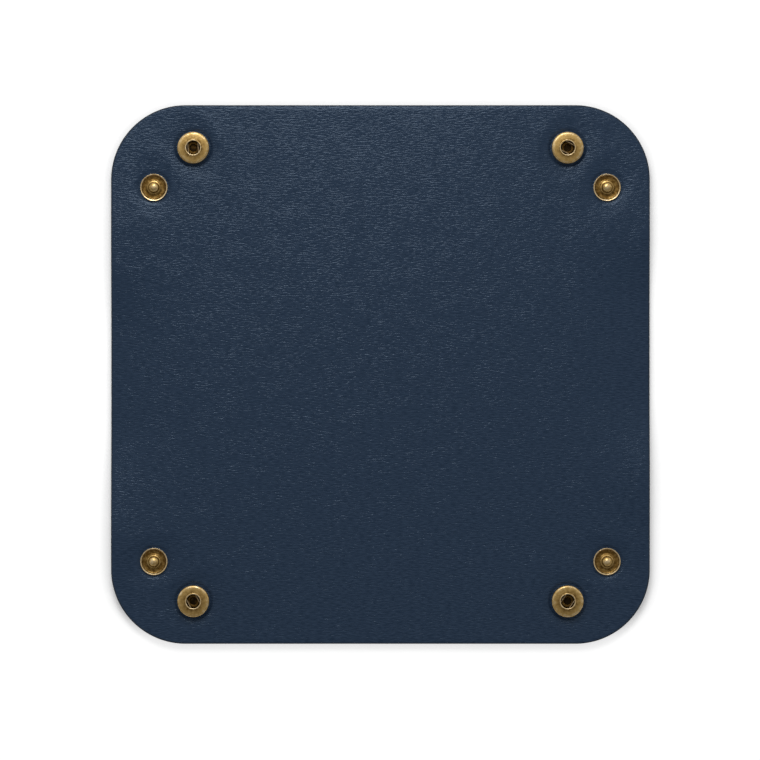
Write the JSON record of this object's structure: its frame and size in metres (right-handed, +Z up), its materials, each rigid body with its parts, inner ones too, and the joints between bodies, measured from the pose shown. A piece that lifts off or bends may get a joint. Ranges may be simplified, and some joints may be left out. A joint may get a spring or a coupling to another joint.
{
  "type": "valet tray",
  "caption": "Flat square leather sheet with rounded corners; a press stud at each corner folds it up into a shallow valet tray for keys and small things.",
  "frame": {"origin": "on the table under the middle of the sheet, at the level of the snap caps' lowest points", "axes": "+Z up, +X towards the right edge and +Y towards the back edge, with the front edge at -Y"},
  "size_m": [0.21, 0.21, 0.0078],
  "materials": {
    "leather": "navy, fine wrinkled grain, low sheen",
    "antique_brass": "antique brass, dark in the recesses and bright on worn edges",
    "spring_wire": "dull drawn wire"
  },
  "bodies": {
    "floor": {"leather_floor": "leather"},
    "wall_front": {"leather_wall_front": "leather"},
    "wall_right": {"leather_wall_right": "leather"},
    "wall_back": {"leather_wall_back": "leather"},
    "wall_left": {"leather_wall_left": "leather"},
    "socket_ear_front_left": {"leather_socket_ear_front_left": "leather", "leather_ear_fold_front_left": "leather", "snap_cap_front_left": "antique_brass", "snap_socket_front_left": "antique_brass", "snap_spring_front_left": "spring_wire"},
    "stud_ear_front_left": {"leather_stud_ear_front_left": "leather", "snap_stud_front_left": "antique_brass", "snap_post_front_left": "antique_brass"},
    "socket_ear_front_right": {"leather_socket_ear_front_right": "leather", "leather_ear_fold_front_right": "leather", "snap_cap_front_right": "antique_brass", "snap_socket_front_right": "antique_brass", "snap_spring_front_right": "spring_wire"},
    "stud_ear_front_right": {"leather_stud_ear_front_right": "leather", "snap_stud_front_right": "antique_brass", "snap_post_front_right": "antique_brass"},
    "socket_ear_back_left": {"leather_socket_ear_back_left": "leather", "leather_ear_fold_back_left": "leather", "snap_cap_back_left": "antique_brass", "snap_socket_back_left": "antique_brass", "snap_spring_back_left": "spring_wire"},
    "stud_ear_back_left": {"leather_stud_ear_back_left": "leather", "snap_stud_back_left": "antique_brass", "snap_post_back_left": "antique_brass"},
    "socket_ear_back_right": {"leather_socket_ear_back_right": "leather", "leather_ear_fold_back_right": "leather", "snap_cap_back_right": "antique_brass", "snap_socket_back_right": "antique_brass", "snap_spring_back_right": "spring_wire"},
    "stud_ear_back_right": {"leather_stud_ear_back_right": "leather", "snap_stud_back_right": "antique_brass", "snap_post_back_right": "antique_brass"}
  },
  "joints": [
    {"name": "wall_front_fold", "type": "hinge", "parent": "floor", "child": "wall_front", "pos_m": [0, -0.065, 0.0038], "axis": [-1, 0, 0], "range_deg": [0, 90], "stiffness_Nm_per_rad": 0.2},
    {"name": "wall_right_fold", "type": "hinge", "parent": "floor", "child": "wall_right", "pos_m": [0.065, 0, 0.0038], "axis": [0, -1, 0], "range_deg": [0, 90], "stiffness_Nm_per_rad": 0.2},
    {"name": "wall_back_fold", "type": "hinge", "parent": "floor", "child": "wall_back", "pos_m": [0, 0.065, 0.0038], "axis": [1, 0, 0], "range_deg": [0, 90], "stiffness_Nm_per_rad": 0.2},
    {"name": "wall_left_fold", "type": "hinge", "parent": "floor", "child": "wall_left", "pos_m": [-0.065, 0, 0.0038], "axis": [0, 1, 0], "range_deg": [0, 90], "stiffness_Nm_per_rad": 0.2},
    {"name": "ear_crease_front_left", "type": "hinge", "parent": "wall_front", "child": "socket_ear_front_left", "pos_m": [-0.06092, -0.065, 0.0018], "axis": [0, -1, 0], "range_deg": [0, 45]},
    {"name": "ear_fold_front_left", "type": "hinge", "parent": "socket_ear_front_left", "child": "stud_ear_front_left", "pos_m": [-0.065, -0.065, 0.0061], "axis": [0.7071, 0.7071, 0], "range_deg": [0, 180], "deforming": ["leather_ear_fold_front_left", "snap_spring_front_left"]},
    {"name": "ear_crease_front_right", "type": "hinge", "parent": "wall_front", "child": "socket_ear_front_right", "pos_m": [0.06092, -0.065, 0.0018], "axis": [0, 1, 0], "range_deg": [0, 45]},
    {"name": "ear_fold_front_right", "type": "hinge", "parent": "socket_ear_front_right", "child": "stud_ear_front_right", "pos_m": [0.065, -0.065, 0.0061], "axis": [0.7071, -0.7071, 0], "range_deg": [0, 180], "deforming": ["leather_ear_fold_front_right", "snap_spring_front_right"]},
    {"name": "ear_crease_back_left", "type": "hinge", "parent": "wall_back", "child": "socket_ear_back_left", "pos_m": [-0.06092, 0.065, 0.0018], "axis": [0, -1, 0], "range_deg": [0, 45]},
    {"name": "ear_fold_back_left", "type": "hinge", "parent": "socket_ear_back_left", "child": "stud_ear_back_left", "pos_m": [-0.065, 0.065, 0.0061], "axis": [-0.7071, 0.7071, 0], "range_deg": [0, 180], "deforming": ["leather_ear_fold_back_left", "snap_spring_back_left"]},
    {"name": "ear_crease_back_right", "type": "hinge", "parent": "wall_back", "child": "socket_ear_back_right", "pos_m": [0.06092, 0.065, 0.0018], "axis": [0, 1, 0], "range_deg": [0, 45]},
    {"name": "ear_fold_back_right", "type": "hinge", "parent": "socket_ear_back_right", "child": "stud_ear_back_right", "pos_m": [0.065, 0.065, 0.0061], "axis": [-0.7071, -0.7071, 0], "range_deg": [0, 180], "deforming": ["leather_ear_fold_back_right", "snap_spring_back_right"]}
  ],
  "couplings": [
    {"joint": "wall_right_fold", "follows": "wall_front_fold", "ratio": 1},
    {"joint": "wall_back_fold", "follows": "wall_front_fold", "ratio": 1},
    {"joint": "wall_left_fold", "follows": "wall_front_fold", "ratio": 1},
    {"joint": "ear_crease_front_left", "follows": "wall_front_fold", "ratio": 0.5},
    {"joint": "ear_fold_front_left", "follows": "wall_front_fold", "ratio": 2},
    {"joint": "ear_crease_front_right", "follows": "wall_front_fold", "ratio": 0.5},
    {"joint": "ear_fold_front_right", "follows": "wall_front_fold", "ratio": 2},
    {"joint": "ear_crease_back_left", "follows": "wall_front_fold", "ratio": 0.5},
    {"joint": "ear_fold_back_left", "follows": "wall_front_fold", "ratio": 2},
    {"joint": "ear_crease_back_right", "follows": "wall_front_fold", "ratio": 0.5},
    {"joint": "ear_fold_back_right", "follows": "wall_front_fold", "ratio": 2}
  ]
}
